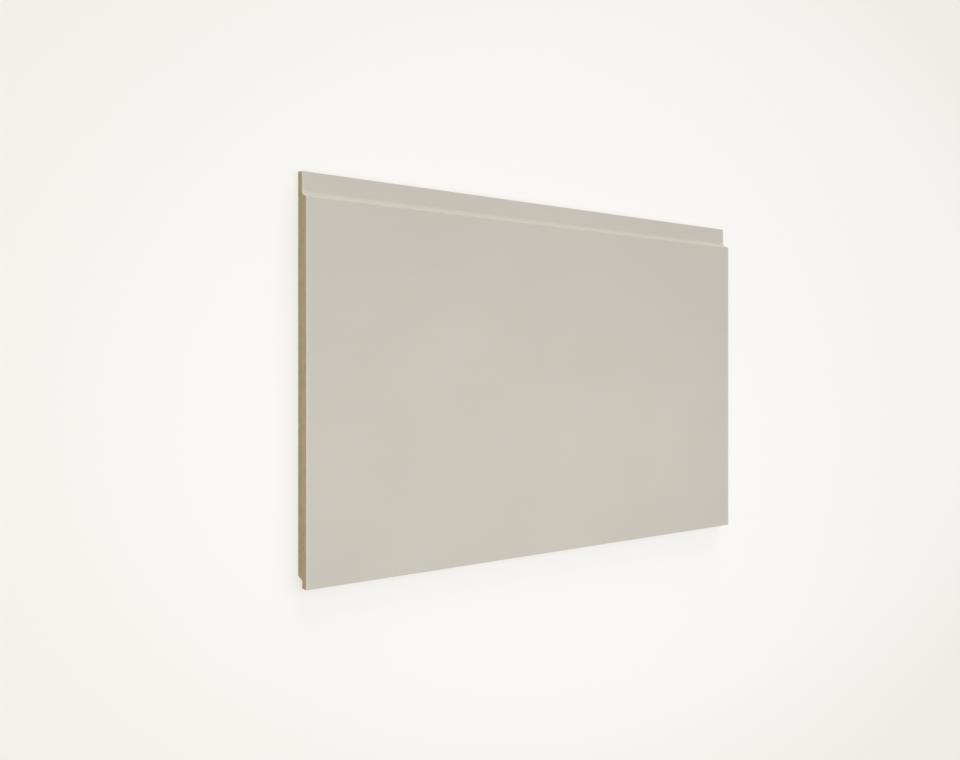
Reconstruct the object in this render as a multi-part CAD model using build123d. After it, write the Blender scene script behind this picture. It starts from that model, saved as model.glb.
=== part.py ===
"""Rebated fibre cement cladding board: a short length of stock, lying face up.

X runs along the board, Y from its lower edge up to its tongue, and Z out of its painted face.
The origin is on the back face, under the middle of the board. Sizes are in millimetres.
"""

import os
from math import radians, tan

from build123d import *

# Stock
length = 508.0  # between the sawn ends
width = 325.0  # lower edge to the back of the tongue's top
thickness = 14.0  # back face to painted face

# Lap: the tongue of one board goes behind the lip of the board above it
tongue_thickness = 6.8  # what is left of the board behind the front rebate
lap = 6.0  # how far the lip hangs down in front of the tongue
reveal = 14.5  # open channel left in the face between two boards
lap_clearance = 0.2  # gap between tongue and lip, through the thickness
seat_clearance = 0.2  # gap between the tongue's top and the root of the back rebate
shoulder_fall = 21.5  # degrees that both shoulders fall towards the face, to shed water
tongue_top_fall = 0.7  # how much lower the tongue's top is at its front

# Edges
face_arris = 0.6  # radius on the edges of the painted face
tongue_arris = 0.3  # radius on the tongue's front edge
back_arris = 0.4  # radius on the edges of the back rebate
front_cove = 4.5  # radius at the foot of the tongue, in the open channel
back_cove = 0.5  # radius that the cutter leaves behind the lip
end_arris = 0.3  # bevel round both sawn ends

# Depths through the thickness, measured from the back face
shoulder_slope = tan(radians(shoulder_fall))
front_rebate_depth = thickness - tongue_thickness
back_rebate_depth = tongue_thickness + lap_clearance

# Heights across the width, with zero at the middle of the board
lower_edge = -width / 2
tongue_top_back = width / 2
tongue_top_front = tongue_top_back - tongue_top_fall
shoulder_edge = tongue_top_front - lap - reveal
shoulder_root = shoulder_edge + front_rebate_depth * shoulder_slope
rebate_root = lower_edge + lap + seat_clearance
rebate_edge = rebate_root + back_rebate_depth * shoulder_slope

# Corners of the section as (across the width, through the thickness)
lip_front = (lower_edge, thickness)
lip_back = (lower_edge, back_rebate_depth)
back_rebate_root = (rebate_root, back_rebate_depth)
back_rebate_edge = (rebate_edge, 0)
tongue_back = (tongue_top_back, 0)
tongue_front = (tongue_top_front, tongue_thickness)
front_rebate_root = (shoulder_root, tongue_thickness)
front_rebate_edge = (shoulder_edge, thickness)


def ease(section, corners, radius):
    """Rounds the named corners of the section being drawn."""
    points = section.vertices()
    fillet([points.sort_by_distance(Vector(*corner))[0] for corner in corners], radius)


with BuildPart() as board:
    with BuildSketch(Plane.YZ) as section:
        with BuildLine():
            Polyline(
                lip_front,
                lip_back,
                back_rebate_root,
                back_rebate_edge,
                tongue_back,
                tongue_front,
                front_rebate_root,
                front_rebate_edge,
                close=True,
            )
        make_face()
        ease(section, [lip_front, front_rebate_edge], face_arris)
        ease(section, [tongue_front], tongue_arris)
        ease(section, [lip_back, back_rebate_edge], back_arris)
        ease(section, [front_rebate_root], front_cove)
        ease(section, [back_rebate_root], back_cove)
    extrude(amount=length / 2, both=True)
    ends = board.faces().filter_by(Axis.X)
    chamfer(ends.edges(), end_arris)

os.makedirs("parts", exist_ok=True)
export_step(board.part, "parts/cladding_board.step")
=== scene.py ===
"""Looks of the fibre cement cladding board: its surfaces, and a studio floor, light and camera.

The board follows the CAD section, in the CAD frame: X along the board, Y from its lower edge to its
tongue, Z out of its painted face. It is worked out in millimetres, and the mesh is in metres.
"""

import math
from collections import namedtuple

import bpy
import numpy as np
from mathutils import Matrix, Vector
from mathutils.geometry import delaunay_2d_cdt
from mathutils.kdtree import KDTree


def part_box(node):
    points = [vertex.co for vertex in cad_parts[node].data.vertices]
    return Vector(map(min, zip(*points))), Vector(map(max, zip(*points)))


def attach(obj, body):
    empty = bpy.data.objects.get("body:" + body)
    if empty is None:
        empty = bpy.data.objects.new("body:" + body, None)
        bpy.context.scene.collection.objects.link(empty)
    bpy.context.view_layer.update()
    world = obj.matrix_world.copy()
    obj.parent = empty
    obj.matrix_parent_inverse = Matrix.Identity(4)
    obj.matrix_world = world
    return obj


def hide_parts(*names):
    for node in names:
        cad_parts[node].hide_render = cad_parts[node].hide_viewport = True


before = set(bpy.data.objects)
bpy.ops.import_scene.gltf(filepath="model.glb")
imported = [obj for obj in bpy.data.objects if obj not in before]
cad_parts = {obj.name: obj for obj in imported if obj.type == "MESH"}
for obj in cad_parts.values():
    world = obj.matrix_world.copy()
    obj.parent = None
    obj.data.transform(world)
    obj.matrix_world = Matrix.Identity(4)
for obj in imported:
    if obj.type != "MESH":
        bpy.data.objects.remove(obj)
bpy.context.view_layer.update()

MM = 0.001
BOARD = "cladding_board"
SEED = 41


def srgb(red, green, blue):
    """A colour given in 0 to 255, as the shaders take it."""
    values = [c / 255 for c in (red, green, blue)]
    return tuple(c / 12.92 if c <= 0.04045 else ((c + 0.055) / 1.055) ** 2.4 for c in values) + (1.0,)


# Section, as in the CAD model, in millimetres
low_corner, high_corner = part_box(BOARD)
LENGTH, WIDTH, THICKNESS = (round((high - low) / MM, 2) for low, high in zip(low_corner, high_corner))
TONGUE, LAP, REVEAL = 6.8, 6.0, 14.5
LAP_CLEARANCE, SEAT_CLEARANCE = 0.2, 0.2
SLOPE = math.tan(math.radians(21.5))  # of both shoulders
TOP_FALL = 0.7  # how much lower the tongue's top is at its front
FACE_ARRIS, TONGUE_ARRIS, BACK_ARRIS = 0.6, 0.3, 0.4
FRONT_COVE, BACK_COVE = 4.5, 0.5
END_ARRIS = 0.3

# Mesh, with lengths in millimetres
ARC_STEPS = 6  # edges round a rounded corner
SUPPORT = 0.4  # how far from a rounded corner the first point of a flat lies
SPACING = 9.0  # widest gap between points on a flat
END_STRIP = 3.0  # the strip beside a sawn end, where the points close up
FINE = 0.5  # gap between points round a sawn end and along its layers
FINE_ACROSS = 0.3  # gap between points across the layers
SHARP_ANGLE = math.radians(32)  # an edge that turns more than this shades as a crease
TRIANGLES_INSIDE, MERGE_BELOW = 1, 1e-6  # how the sawn ends are divided: output type and tolerance
END_MARGINS = 0.06, 0.01  # shares of a sawn end's column on the map left free across it and along it

# Material slots of the board's mesh
PAINT, SAWN, BACK = range(3)

# Lighter paint on the long edges and round the sawn ends, from 0 to 1: part wear, part painted highlight
EDGE_WEAR_AND_HIGHLIGHT, END_WEAR_AND_HIGHLIGHT = 0.4, 1.0

# Bevels of the sawn ends, with lengths in millimetres
BEVEL_SHARE = 0.85  # of the CAD bevel, on average
BEVEL_WAVES = (0.18, 1.6), (0.12, 5.0)  # (share of the CAD bevel, pitch)
CHIPS = (PAINT, 8, 0.12), (BACK, 22, 0.26)  # (slot of the edge, how many, deepest)
CHIP_LEAST = 0.04
CHIP_WIDTHS = 0.6, 1.8
BARE = 1.35  # where the bevel is wider than the CAD bevel by this factor, it shows the core
CORNER_SHARE = 0.6  # of a rounded corner's radius, the most that the bevel takes there
CORNER_EASE = 0.4  # how much more it may take for each millimetre away from there

# Relief of the sawn ends, with lengths in millimetres
LAYER_WAVES = (0.35, 60.0), (0.12, 14.0)  # (height, pitch)
LAYER_PITCH, LAYER_DEPTH = 0.62, 0.035
MARK_PITCH, MARK_DEPTH = 2.3, 0.014  # saw marks
MARK_LEAN, MARK_BEND = 0.3, 0.02  # how they run across the thickness
MARK_DRIFT, DRIFT_PITCH = 2.2, 17.0  # how they drift along the end, in radians, and how often
PITS = 240
PIT_WIDTHS, PIT_HEIGHTS, PIT_DEPTHS = (0.4, 1.0), (0.25, 0.6), (0.05, 0.16)
PIT_REACH = 3  # widths from its middle, where a pit has run out

# Colours of the board
# The lighter edge paint is partly wear and partly a painted highlight along the edges
PAINT_TONES, PAINT_WEAR_AND_HIGHLIGHT = (srgb(200, 194.5, 183), srgb(206, 200.5, 189)), srgb(211, 206, 196)
CORE_TONES = srgb(168, 153, 116), srgb(192, 178, 140)
# The darkest core colour is painted shade, laid in the pits by their depth
SAND, FIBRE, PAINTED_PIT_SHADE = srgb(208, 197, 163), srgb(141, 127, 96), srgb(134, 120, 89)
BACK_TONES, PAINT_MIST = (srgb(165, 154, 125), srgb(187, 177, 149)), srgb(202, 197, 186)

# Finishes of the board
PAINT_ROUGHNESS, CORE_ROUGHNESS, BACK_ROUGHNESS = (0.52, 0.64), (0.82, 0.95), (0.8, 0.94)
PAINT_BUMP, CORE_BUMP, BACK_BUMP = 0.03, 0.07, 0.06  # millimetres
PIT_SHADE = 0.1, 0.24  # millimetres of depth between which a painted shade darkens the core in its pits
MIST_FADE, MIST_MOST = (8.0, 24.0), 0.85  # millimetres from the long edges, and the densest share
MIST_RAGGED, MIST_SPECKLE = 16.0, 5.0  # millimetres by which its border strays
MOST = 0.3, 0.7  # the levels between which most of a noise lies

# Floor, with a painted pool of light round the board that dims away from it
POOL_PAINTED_LIGHT, POOL_PAINTED_DIM = srgb(253.5, 251.5, 248), srgb(246.5, 245, 239)
POOL_CENTRE = (270.0, 20.0, 0.0)  # of its painted pool of light, in millimetres
POOL_STRETCH = (1.59, 1.0, 1.0)  # the painted pool of light is longer along X than across
POOL_FADE = 325.0, 555.0  # millimetres from the centre, across the painted pool of light
FLOOR_SHINE = 0.6  # share of the floor's colour that the camera sees whatever light falls there
FLOOR_ROUGHNESS = 0.9
FLOOR_HALF, FLOOR_DROP = 6.0, 0.0002  # metres

# Light, with places and sizes in metres
BACKDROP = srgb(238, 236.5, 230.5)  # as the far floor looks
SKY_SIDES, SKY_TOP = 0.33, 0.9  # strength of the light from the horizon and from overhead
KEY_STRENGTH, KEY_FROM, KEY_ANGLE = 1.4, (0.1, 0.97, 0.21), math.radians(40)
FILL_POWER, FILL_PLACE, FILL_AIM = 0.45, (-0.06, -0.08, 0.4), (-0.06, -0.08, 0.0)
FILL_LENGTH, FILL_WIDTH = 0.8, 0.25

# Camera: its upright lies along the board's width, and it looks down from beyond the left end
LENS, SENSOR = 35.0, 36.0  # millimetres
CAMERA_PLACE = (-0.57836, 0.00758, 0.66866)  # metres
CAMERA_TURN = math.radians(36.908)
CAMERA_REACH = 0.01, 30.0  # metres
IMAGE_WIDTH, IMAGE_SHIFT = 960, -10.4  # pixels


# Outline of the section


def section_corners():
    """(place, radius, slot of the edge after it) round the section, from the back of the tongue's top."""
    low, top = -WIDTH / 2, WIDTH / 2
    top_front = top - TOP_FALL
    shoulder = top_front - LAP - REVEAL
    shoulder_root = shoulder + (THICKNESS - TONGUE) * SLOPE
    lip_back = TONGUE + LAP_CLEARANCE
    rebate_root = low + LAP + SEAT_CLEARANCE
    rebate_edge = rebate_root + lip_back * SLOPE
    corners = [
        (top, 0.0, 0.0, PAINT),
        (top_front, TONGUE, TONGUE_ARRIS, PAINT),
        (shoulder_root, TONGUE, FRONT_COVE, PAINT),
        (shoulder, THICKNESS, FACE_ARRIS, PAINT),
        (low, THICKNESS, FACE_ARRIS, PAINT),
        (low, lip_back, BACK_ARRIS, BACK),
        (rebate_root, lip_back, BACK_COVE, BACK),
        (rebate_edge, 0.0, BACK_ARRIS, BACK),
    ]
    return [(np.array((y, z)), radius, slot) for y, z, radius, slot in corners]


def unit(vector):
    return vector / np.linalg.norm(vector)


def rounded(before, corner, after, radius):
    """The arc that rounds a corner between two straight runs, or the corner alone where it is sharp."""
    if not radius:
        return [corner]
    back, on = unit(before - corner), unit(after - corner)
    half = math.acos(float(back @ on)) / 2
    centre = corner + unit(back + on) * radius / math.sin(half)
    first = corner + back * radius / math.tan(half) - centre
    last = corner + on * radius / math.tan(half) - centre
    return [centre + unit(first * (1 - t) + last * t) * radius for t in np.linspace(0, 1, ARC_STEPS + 1)]


def flat(start, end):
    """Points inside a straight run: one close to each end, to shade it flat, and even ones between."""
    run = np.linalg.norm(end - start)
    if run < 3 * SUPPORT:
        return []
    count = math.ceil((run - 2 * SUPPORT) / SPACING) + 1
    return [start + (end - start) * s / run for s in np.linspace(SUPPORT, run - SUPPORT, count)]


def outline():
    """Points round the section, the slot of the edge after each, and its outer corner's radius or 0."""
    corners = section_corners()
    places = [place for place, _, _ in corners]
    following = places[1:] + places[:1]
    arcs = []
    for i, (place, radius, _) in enumerate(corners):
        arcs.append(rounded(places[i - 1], place, following[i], radius))
    points, slots, radii = [], [], []
    for i, (place, radius, slot) in enumerate(corners):
        into, out = place - places[i - 1], following[i] - place
        outer = into[0] * out[1] - into[1] * out[0] > 0
        for step, point in enumerate(arcs[i]):
            points.append(point)
            slots.append(slot if step >= len(arcs[i]) // 2 else corners[i - 1][2])
            radii.append(radius if outer else 0.0)
        for point in flat(arcs[i][-1], arcs[(i + 1) % len(arcs)][0]):
            points.append(point)
            slots.append(slot)
            radii.append(0.0)
    return np.array(points), np.array(slots), np.array(radii)


def refined(points, slots, radii):
    """The outline with its edges divided finely, and where its first points and the closing one went."""
    fine, fine_slots, fine_radii, marks = [], [], [], []
    for i, (start, end) in enumerate(zip(points, np.roll(points, -1, 0))):
        marks.append(len(fine))
        count = math.ceil(np.linalg.norm(end - start) / FINE)
        for t in np.arange(count) / count:
            fine.append(start * (1 - t) + end * t)
            fine_slots.append(slots[i])
            fine_radii.append(radii[i] if t == 0 else 0.0)
    marks.append(len(fine))
    return np.array(fine), np.array(fine_slots), np.array(fine_radii), marks


def distances(points):
    """Distance along a closed outline to each of its points, and at last to the first one again."""
    steps = np.linalg.norm(np.roll(points, -1, 0) - points, axis=1)
    return np.concatenate(([0.0], np.cumsum(steps)))


def inward(points):
    """For each point of a closed outline, the move that takes both its edges inward by 1."""
    on = np.roll(points, -1, 0) - points
    on /= np.linalg.norm(on, axis=1, keepdims=True)
    normal = np.stack((-on[:, 1], on[:, 0]), 1)
    both = normal + np.roll(normal, 1, 0)
    return both / np.sum(both * normal, 1, keepdims=True)


def inside(points, y, z):
    """Which places lie inside a closed outline."""
    found = np.zeros(len(y), bool)
    for (y0, z0), (y1, z1) in zip(points, np.roll(points, -1, 0)):
        if z0 != z1:
            found ^= ((z0 > z) != (z1 > z)) & (y < (y1 - y0) * (z - z0) / (z1 - z0) + y0)
    return found


def gaps_to(points, places):
    """Distance from each place to the nearest of some points."""
    tree = KDTree(len(points))
    for i, (y, z) in enumerate(points):
        tree.insert((y, z, 0.0), i)
    tree.balance()
    return np.array([tree.find((y, z, 0.0))[2] for y, z in places])


# Sawn ends


def smooth_noise(rng, places, pitch):
    """Smooth noise from -1 to 1 along a line, with bumps about a pitch apart."""
    spots = np.asarray(places) / pitch
    low = math.floor(spots.min()) - 1
    values = rng.uniform(-1, 1, math.ceil(spots.max()) - low + 3)
    cell = np.floor(spots).astype(int) - low
    t = spots - np.floor(spots)
    t = t * t * (3 - 2 * t)
    return values[cell] * (1 - t) + values[cell + 1] * t


def waves(rng, places, parts, level=0.0):
    """A level with smooth noises on it, each a (height, pitch)."""
    for height, pitch in parts:
        level = level + height * smooth_noise(rng, places, pitch)
    return level


def arris_bevel(rng, along, slots, radii):
    """How far the bevel of a sawn end reaches, round the section: a fine ragged line with a few chips."""
    round_trip = along[-1]
    along = along[:-1]
    bevel = END_ARRIS * waves(rng, along, BEVEL_WAVES, BEVEL_SHARE)
    for slot, count, deepest in CHIPS:
        spots = rng.choice(np.flatnonzero(slots == slot), count, replace=False)
        depths = rng.uniform(CHIP_LEAST, deepest, count)
        widths = rng.uniform(*CHIP_WIDTHS, count)
        for at, deep, wide in zip(along[spots], depths, widths):
            bevel += deep * np.exp(-(((along - at) / wide) ** 2))
    for at, radius in zip(along[radii > 0], radii[radii > 0]):
        away = np.abs(along - at)
        away = np.minimum(away, round_trip - away)
        bevel = np.minimum(bevel, CORNER_SHARE * radius + CORNER_EASE * away)
    return bevel


def sawn_relief(rng, y, z):
    """Depth below the end plane in millimetres: layers, saw marks and pits where fibres pulled out."""
    layers = smooth_noise(rng, z + waves(rng, y, LAYER_WAVES), LAYER_PITCH)
    run = y + MARK_LEAN * z + MARK_BEND * z * z
    drift = smooth_noise(rng, y, DRIFT_PITCH)
    marks = np.sin(2 * math.pi * run / MARK_PITCH + MARK_DRIFT * drift)
    depth = LAYER_DEPTH * (1 + layers) + MARK_DEPTH * (1 + marks)
    for _ in range(PITS):
        at_y, at_z = rng.uniform(-WIDTH / 2, WIDTH / 2), rng.uniform(0, THICKNESS)
        wide, high, deep = (rng.uniform(*limits) for limits in (PIT_WIDTHS, PIT_HEIGHTS, PIT_DEPTHS))
        near = np.abs(y - at_y) < PIT_REACH * wide
        away = ((y[near] - at_y) / wide) ** 2 + ((z[near] - at_z) / high) ** 2
        depth[near] += deep * np.exp(-away)
    return depth


def end_grid(rim):
    """Even points on a sawn end, inside its rim and clear of it."""
    across = np.arange(-WIDTH / 2, WIDTH / 2, FINE)
    through = np.arange(FINE_ACROSS / 2, THICKNESS, FINE_ACROSS)
    grid = np.stack(np.meshgrid(across, through), -1).reshape(-1, 2)
    grid = grid[inside(rim, *grid.T)]
    return grid[gaps_to(rim, grid) > FINE_ACROSS]


def triangles(points, rim_count):
    """Triangles over points of which the first so many are a closed rim round the others."""
    rim = list(range(rim_count))
    vectors = [Vector(point) for point in points]
    _, _, faces, sources, _, _ = delaunay_2d_cdt(vectors, [], [rim], TRIANGLES_INSIDE, MERGE_BELOW)
    return [[sources[v][0] for v in face] for face in faces]


# Building the mesh

# A loop of points round the board: their numbers, its x on the map, the distance round the section to
# each of them and back to the first, and the marks that divide the loop into stretches
Ring = namedtuple("Ring", "numbers map_x along marks")


def strip(near, far):
    """Faces between two runs of corners: a quad between two pairs, or triangles fanned along both."""
    if len(near) == len(far) == 2:
        return [(*near, *far[::-1])]
    faces, i, j = [], 0, 0
    while i + 1 < len(near) or j + 1 < len(far):
        near_next, far_next = (i + 0.5) / (len(near) - 1), (j + 0.5) / (len(far) - 1)
        if near_next < far_next:
            faces.append((near[i], near[i + 1], far[j]))
            i += 1
        else:
            faces.append((near[i], far[j + 1], far[j]))
            j += 1
    return faces


class Shell:
    """Gathers the board's points and faces, and where each face corner lies on the map for its finish."""

    def __init__(self, round_trip):
        self.points, self.worn, self.depth = [], [], []
        self.faces, self.slots, self.places = [], [], []
        self.map_size = round_trip + 2 * END_STRIP

    def add_points(self, x, yz, worn, depth=0.0):
        """Adds points at x, one value or one each, and returns their numbers."""
        first, count = len(self.points), len(yz)
        self.points.extend(np.column_stack((np.broadcast_to(x, count), yz)).tolist())
        self.worn.extend(np.broadcast_to(worn, count).tolist())
        self.depth.extend(np.broadcast_to(depth, count).tolist())
        return np.arange(first, first + count)

    def add_face(self, numbers, slot, places):
        self.faces.append([int(n) for n in numbers])
        self.slots.append(slot)
        self.places.extend(places)

    def wall_place(self, x, along):
        """Where the long sides lie on the map: unrolled, the painted strip with the raw one above it."""
        return (x + LENGTH / 2 + END_STRIP) / self.map_size, (along + END_STRIP) / self.map_size

    def end_place(self, side, y, z):
        """Where a sawn end lies on the map: drawn larger, in a column beside the long sides."""
        column = (LENGTH + 3 * END_STRIP) / self.map_size
        share = (1 - column) / 2
        beside, above = END_MARGINS
        u = column + (0 if side < 0 else share) + (beside + (1 - 2 * beside) * z / THICKNESS) * share
        return u, above + (1 - 2 * above) * (y / WIDTH + 0.5)

    def stretch(self, ring, i):
        """The corners of a ring from its mark i to the next."""
        spots = range(ring.marks[i], ring.marks[i + 1] + 1)
        count = len(ring.numbers)
        return [(ring.numbers[k % count], self.wall_place(ring.map_x, ring.along[k])) for k in spots]

    def join(self, a, b, slots):
        """Faces between two rings, a at the lower X, stretch by stretch with the slot of each."""
        for i, slot in enumerate(slots):
            for corners in strip(self.stretch(a, i), self.stretch(b, i)):
                numbers, places = zip(*corners)
                self.add_face(numbers, slot, places)

    def fill_end(self, side, rim, rim_numbers, rng):
        """The sawn face inside the rim of one end, with its relief."""
        grid = end_grid(rim)
        depth = sawn_relief(rng, *grid.T)
        grid_numbers = self.add_points(side * (LENGTH / 2 - depth), grid, 0.0, depth)
        points, numbers = np.concatenate((rim, grid)), np.concatenate((rim_numbers, grid_numbers))
        for face in triangles(points, len(rim)):
            spots = face if side > 0 else face[::-1]
            self.add_face(numbers[spots], SAWN, [self.end_place(side, *points[s]) for s in spots])

    def mesh(self, name):
        made = bpy.data.meshes.new(name)
        made.from_pydata((np.array(self.points) * MM).tolist(), [], self.faces)
        made.polygons.foreach_set("material_index", np.array(self.slots, np.int32))
        # The arris values carry the edges' wear and their painted highlight
        for key, values in (("arris", self.worn), ("depth", self.depth)):
            attribute = made.attributes.new(key, "FLOAT", "POINT")
            attribute.data.foreach_set("value", np.array(values, np.float32))
        finish_map = made.uv_layers.new(name="OFBake")
        finish_map.uv.foreach_set("vector", np.array(self.places, np.float32).ravel())
        made.shade_smooth()
        made.set_sharp_from_angle(angle=SHARP_ANGLE)
        return made


def board_mesh():
    """The board as one closed mesh: a swept section, and two sawn ends with their own relief."""
    rng = np.random.default_rng(SEED)
    points, slots, radii = outline()
    along = distances(points)
    fine, fine_slots, fine_radii, fine_marks = refined(points, slots, radii)
    fine_along = distances(fine)
    fine_move = inward(fine)
    every_point, every_fine = range(len(points) + 1), range(len(fine) + 1)
    edge_worn = np.where(radii > 0, EDGE_WEAR_AND_HIGHLIGHT, 0.0)
    shell = Shell(along[-1])

    def sawn_end(side):
        """Makes one end, and returns the ring where its bevel starts."""
        bevel = arris_bevel(rng, fine_along, fine_slots, fine_radii)
        rim = fine + fine_move * bevel[:, None]
        start_numbers = shell.add_points(side * (LENGTH / 2 - bevel), fine, END_WEAR_AND_HIGHLIGHT)
        rim_numbers = shell.add_points(side * LENGTH / 2, rim, END_WEAR_AND_HIGHLIGHT)
        start_ring = Ring(start_numbers, side * LENGTH / 2, fine_along, every_fine)
        rim_ring = Ring(rim_numbers, side * (LENGTH / 2 + END_STRIP / 2), fine_along, every_fine)
        rings = (start_ring, rim_ring) if side > 0 else (rim_ring, start_ring)
        shell.join(*rings, np.where(bevel > END_ARRIS * BARE, SAWN, fine_slots))
        shell.fill_end(side, rim, rim_numbers, rng)
        return start_ring._replace(marks=fine_marks)

    left, right = sawn_end(-1), sawn_end(1)
    near_end = LENGTH / 2 - END_STRIP
    chain = [left]
    for x in np.linspace(-near_end, near_end, math.ceil(2 * near_end / SPACING) + 1):
        chain.append(Ring(shell.add_points(x, points, edge_worn), x, along, every_point))
    chain.append(right)
    for a, b in zip(chain, chain[1:]):
        shell.join(a, b, slots)
    return shell.mesh("cladding_board_surface")


# Materials


class Nodes:
    """Short calls for building one node tree. An input is a plain value or another node's output."""

    def __init__(self, owner):
        owner.use_nodes = True
        self.tree = owner.node_tree

    def add(self, kind, inputs=(), **settings):
        node = self.tree.nodes.new(kind)
        for key, value in settings.items():
            setattr(node, key, value)
        for key, value in dict(inputs).items():
            self.put(node.inputs[key], value)
        return node

    def put(self, socket, value):
        if isinstance(value, bpy.types.NodeSocket):
            self.tree.links.new(value, socket)
        else:
            socket.default_value = value

    def finish(self, **values):
        """Sets the surface shader's inputs, named with _ for a space."""
        shader = self.tree.nodes["Principled BSDF"]
        for key, value in values.items():
            self.put(shader.inputs[key.replace("_", " ")], value)

    def place(self, steps=(1.0, 1.0, 1.0)):
        """Object coordinates, counted along each axis in steps of so many millimetres."""
        coords = self.add("ShaderNodeTexCoord").outputs["Object"]
        factor = tuple(1 / (step * MM) for step in steps)
        return self.add("ShaderNodeVectorMath", {0: coords, 1: factor}, operation="MULTIPLY").outputs[0]

    def noise(self, sizes, detail=2.0, roughness=0.5):
        """Noise with features of about these sizes in millimetres along the three axes."""
        inputs = {"Vector": self.place(sizes), "Scale": 1.0, "Detail": detail, "Roughness": roughness}
        return self.add("ShaderNodeTexNoise", inputs).outputs["Fac"]

    def even_noise(self, size, detail=2.0, roughness=0.5):
        """Noise with features of about one size in millimetres along every axis."""
        return self.noise((size, size, size), detail, roughness)

    def attribute(self, name):
        return self.add("ShaderNodeAttribute", attribute_name=name).outputs["Fac"]

    def math(self, operation, a, b=0.0):
        return self.add("ShaderNodeMath", {0: a, 1: b}, operation=operation).outputs[0]

    def blend(self, *parts):
        """The sum of (value, weight) parts."""
        total = 0.0
        for value, weight in parts:
            inputs = {0: value, 1: weight, 2: total}
            total = self.add("ShaderNodeMath", inputs, operation="MULTIPLY_ADD").outputs[0]
        return total

    def span(self, value, low, high, to_low=0.0, to_high=1.0):
        """Takes the levels from low to high smoothly to those from to_low to to_high."""
        inputs = {"Value": value, "From Min": low, "From Max": high, "To Min": to_low, "To Max": to_high}
        return self.add("ShaderNodeMapRange", inputs, interpolation_type="SMOOTHSTEP").outputs["Result"]

    def mix(self, factor, a, b):
        """Colour a where the factor is 0, and b where it is 1."""
        node = self.add("ShaderNodeMix", data_type="RGBA")
        for socket, value in zip((node.inputs[0], node.inputs[6], node.inputs[7]), (factor, a, b)):
            self.put(socket, value)
        return node.outputs[2]

    def bump(self, height, distance_mm):
        inputs = {"Height": height, "Distance": distance_mm * MM, "Strength": 1.0}
        return self.add("ShaderNodeBump", inputs).outputs["Normal"]

    def seen(self):
        """1 for the rays that show a background: the camera's, and reflected or refracted ones."""
        path = self.add("ShaderNodeLightPath").outputs
        either = self.math("MAXIMUM", path["Is Camera Ray"], path["Is Glossy Ray"])
        return self.math("MAXIMUM", either, path["Is Transmission Ray"])


def paint_material():
    """Matt factory paint: a fine stipple, faint lines along the board, and lighter edges, partly wear and
    partly a painted highlight.
    """
    material = bpy.data.materials.new("matt_greige_paint")
    n = Nodes(material)
    drift = n.noise((125.0, 90.0, 90.0))
    stipple = n.even_noise(0.77, 3.0, 0.6)
    lines = n.noise((50.0, 1.7, 1.7))
    tone = n.blend((drift, 0.35), (stipple, 0.55), (lines, 0.1))
    colour = n.mix(n.span(tone, *MOST), *PAINT_TONES)
    patches = n.span(n.even_noise(4.0, 3.0), 0.3, 0.6, 0.4, 1.0)
    # Lighter paint on the edges: partly wear, partly a painted highlight
    worn = n.math("MULTIPLY", n.attribute("arris"), patches)
    n.finish(
        Base_Color=n.mix(worn, colour, PAINT_WEAR_AND_HIGHLIGHT),
        Roughness=n.span(stipple, *MOST, *PAINT_ROUGHNESS),
        Normal=n.bump(n.blend((stipple, 0.9), (lines, 0.1)), PAINT_BUMP),
    )
    return material


def sawn_material():
    """The raw core on a sawn end: thin pressed layers, a sandy grain, pale sand, dark fibres, and pits
    darkened with painted shade.
    """
    material = bpy.data.materials.new("sawn_fibre_cement")
    n = Nodes(material)
    layers = n.noise((100.0, 83.0, 0.77))
    mottle = n.noise((10.0, 8.3, 3.3), 3.0)
    grain = n.even_noise(0.42, 3.0, 0.65)
    tone = n.blend((layers, 0.3), (mottle, 0.25), (grain, 0.45))
    colour = n.mix(n.span(tone, 0.32, 0.68), *CORE_TONES)
    sand = n.span(n.even_noise(0.59, 1.0), 0.62, 0.72, 0.0, 0.55)
    fibres = n.span(n.noise((1.7, 1.25, 0.38), 1.0), 0.64, 0.74, 0.0, 0.5)
    # Painted shade in the pits, darker where they are deeper
    pits = n.span(n.attribute("depth"), *PIT_SHADE, 0.0, 0.5)
    for share, shade in ((sand, SAND), (fibres, FIBRE), (pits, PAINTED_PIT_SHADE)):
        colour = n.mix(share, colour, shade)
    n.finish(
        Base_Color=colour,
        Roughness=n.span(grain, *MOST, *CORE_ROUGHNESS),
        Normal=n.bump(n.blend((grain, 0.7), (layers, 0.3)), CORE_BUMP),
    )
    return material


def back_material():
    """The raw back: a cement skin with fine felt and sanding marks, and a mist of paint at its edges."""
    material = bpy.data.materials.new("raw_back")
    n = Nodes(material)
    blotch = n.noise((50.0, 42.0, 42.0), 4.0, 0.55)
    streak = n.noise((100.0, 1.25, 1.25), 3.0, 0.6)
    grain = n.even_noise(0.62, 2.0, 0.6)
    tone = n.blend((blotch, 0.3), (streak, 0.25), (grain, 0.45))
    colour = n.mix(n.span(tone, *MOST), *BACK_TONES)
    across = n.add("ShaderNodeSeparateXYZ", {0: n.place()}).outputs["Y"]
    from_edge = n.math("SUBTRACT", WIDTH / 2, n.math("ABSOLUTE", across))
    border = n.even_noise(17.0, 3.0, 0.6)
    ragged = n.blend((from_edge, 1.0), (border, MIST_RAGGED), (grain, MIST_SPECKLE))
    mist = n.span(ragged, *MIST_FADE, MIST_MOST, 0.0)
    n.finish(
        Base_Color=n.mix(mist, colour, PAINT_MIST),
        Roughness=n.span(grain, *MOST, *BACK_ROUGHNESS),
        Normal=n.bump(n.blend((streak, 0.4), (grain, 0.6)), BACK_BUMP),
    )
    return material


board = bpy.data.objects.new("board", board_mesh())
bpy.context.scene.collection.objects.link(board)
for material in (paint_material(), sawn_material(), back_material()):
    board.data.materials.append(material)
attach(board, "root")
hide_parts(BOARD)


# Stage


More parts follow.
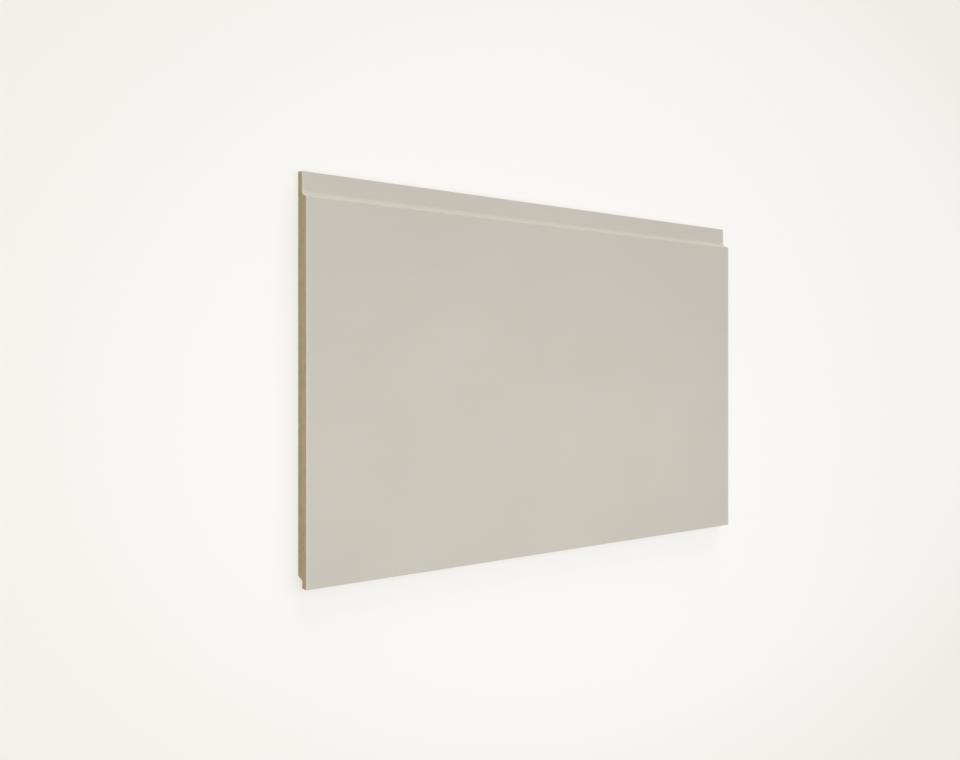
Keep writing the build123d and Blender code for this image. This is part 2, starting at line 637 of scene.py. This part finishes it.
def floor_material():
    """A pale floor that takes the board's shadow, with a painted pool of light that dims a little away
    from the board.
    """
    material = bpy.data.materials.new("studio_floor")
    n = Nodes(material)
    centre = tuple(c / s for c, s in zip(POOL_CENTRE, POOL_STRETCH))
    inputs = {0: n.place(POOL_STRETCH), 1: centre}
    away = n.add("ShaderNodeVectorMath", inputs, operation="DISTANCE").outputs["Value"]
    # Painted pool of light: paler near the board, darker further off
    colour = n.mix(n.span(away, *POOL_FADE), POOL_PAINTED_LIGHT, POOL_PAINTED_DIM)
    n.finish(Base_Color=colour, Roughness=FLOOR_ROUGHNESS, Specular_IOR_Level=0.0)
    shine = n.add("ShaderNodeEmission", {"Color": colour, "Strength": 1.0}).outputs[0]
    lit = n.tree.nodes["Principled BSDF"].outputs[0]
    share = n.math("MULTIPLY", n.seen(), FLOOR_SHINE)
    both = n.add("ShaderNodeMixShader", {0: share, 1: lit, 2: shine}).outputs[0]
    n.put(n.tree.nodes["Material Output"].inputs["Surface"], both)
    material.cycles.emission_sampling = "NONE"
    return material


def studio_floor():
    """A large square of floor, a hair below the board so that the two don't share a plane."""
    mesh = bpy.data.meshes.new("studio_floor")
    signs = (-1, -1), (1, -1), (1, 1), (-1, 1)
    corners = [(x * FLOOR_HALF, y * FLOOR_HALF, -FLOOR_DROP) for x, y in signs]
    mesh.from_pydata(corners, [], [range(4)])
    mesh.materials.append(floor_material())
    return bpy.data.objects.new("studio_floor", mesh)


def studio_world():
    """Soft white light, stronger from above than from the sides, which shows as a pale backdrop."""
    world = bpy.data.worlds.new("studio")
    n = Nodes(world)
    towards = n.add("ShaderNodeTexCoord").outputs["Generated"]
    height = n.add("ShaderNodeSeparateXYZ", {0: towards}).outputs["Z"]
    inputs = {"Value": height, "To Min": SKY_SIDES, "To Max": SKY_TOP}
    strength = n.add("ShaderNodeMapRange", inputs).outputs["Result"]
    light = n.add("ShaderNodeBackground", {"Color": (1, 1, 1, 1), "Strength": strength}).outputs[0]
    shown = n.add("ShaderNodeBackground", {"Color": BACKDROP, "Strength": 1.0}).outputs[0]
    both = n.add("ShaderNodeMixShader", {0: n.seen(), 1: light, 2: shown}).outputs[0]
    n.put(n.tree.nodes["World Output"].inputs["Surface"], both)
    return world


def lamp(name, kind, energy, place, aim, **settings):
    """A lamp at one place, aimed at another, that the camera doesn't show."""
    light = bpy.data.lights.new(name, kind)
    light.energy = energy
    for key, value in settings.items():
        setattr(light, key, value)
    made = bpy.data.objects.new(name, light)
    turn = (Vector(place) - Vector(aim)).to_track_quat("Z", "Y")
    made.matrix_world = Matrix.Translation(place) @ turn.to_matrix().to_4x4()
    made.visible_camera = False
    return made


def photo_camera():
    """A camera with the photo's viewing angle, whose upright is the board's Y."""
    made = bpy.data.objects.new("camera", bpy.data.cameras.new("camera"))
    made.data.lens, made.data.sensor_width = LENS, SENSOR
    made.data.shift_y = IMAGE_SHIFT / IMAGE_WIDTH
    made.data.clip_start, made.data.clip_end = CAMERA_REACH
    cos, sin = math.cos(CAMERA_TURN), math.sin(CAMERA_TURN)
    right, up, back = (cos, 0, sin), (0, 1, 0), (-sin, 0, cos)
    turn = Matrix((right, up, back)).transposed().to_4x4()
    made.matrix_world = Matrix.Translation(CAMERA_PLACE) @ turn
    return made


floor = studio_floor()
key = lamp("key", "SUN", KEY_STRENGTH, KEY_FROM, (0, 0, 0), angle=KEY_ANGLE)
fill = lamp("fill", "AREA", FILL_POWER, FILL_PLACE, FILL_AIM, shape="RECTANGLE")
fill.data.size, fill.data.size_y = FILL_LENGTH, FILL_WIDTH
camera = photo_camera()
for item in (floor, key, fill, camera):
    bpy.context.scene.collection.objects.link(item)
bpy.context.scene.world = studio_world()
bpy.context.scene.camera = camera
bpy.context.scene.view_settings.view_transform = "Standard"

bpy.context.view_layer.update()
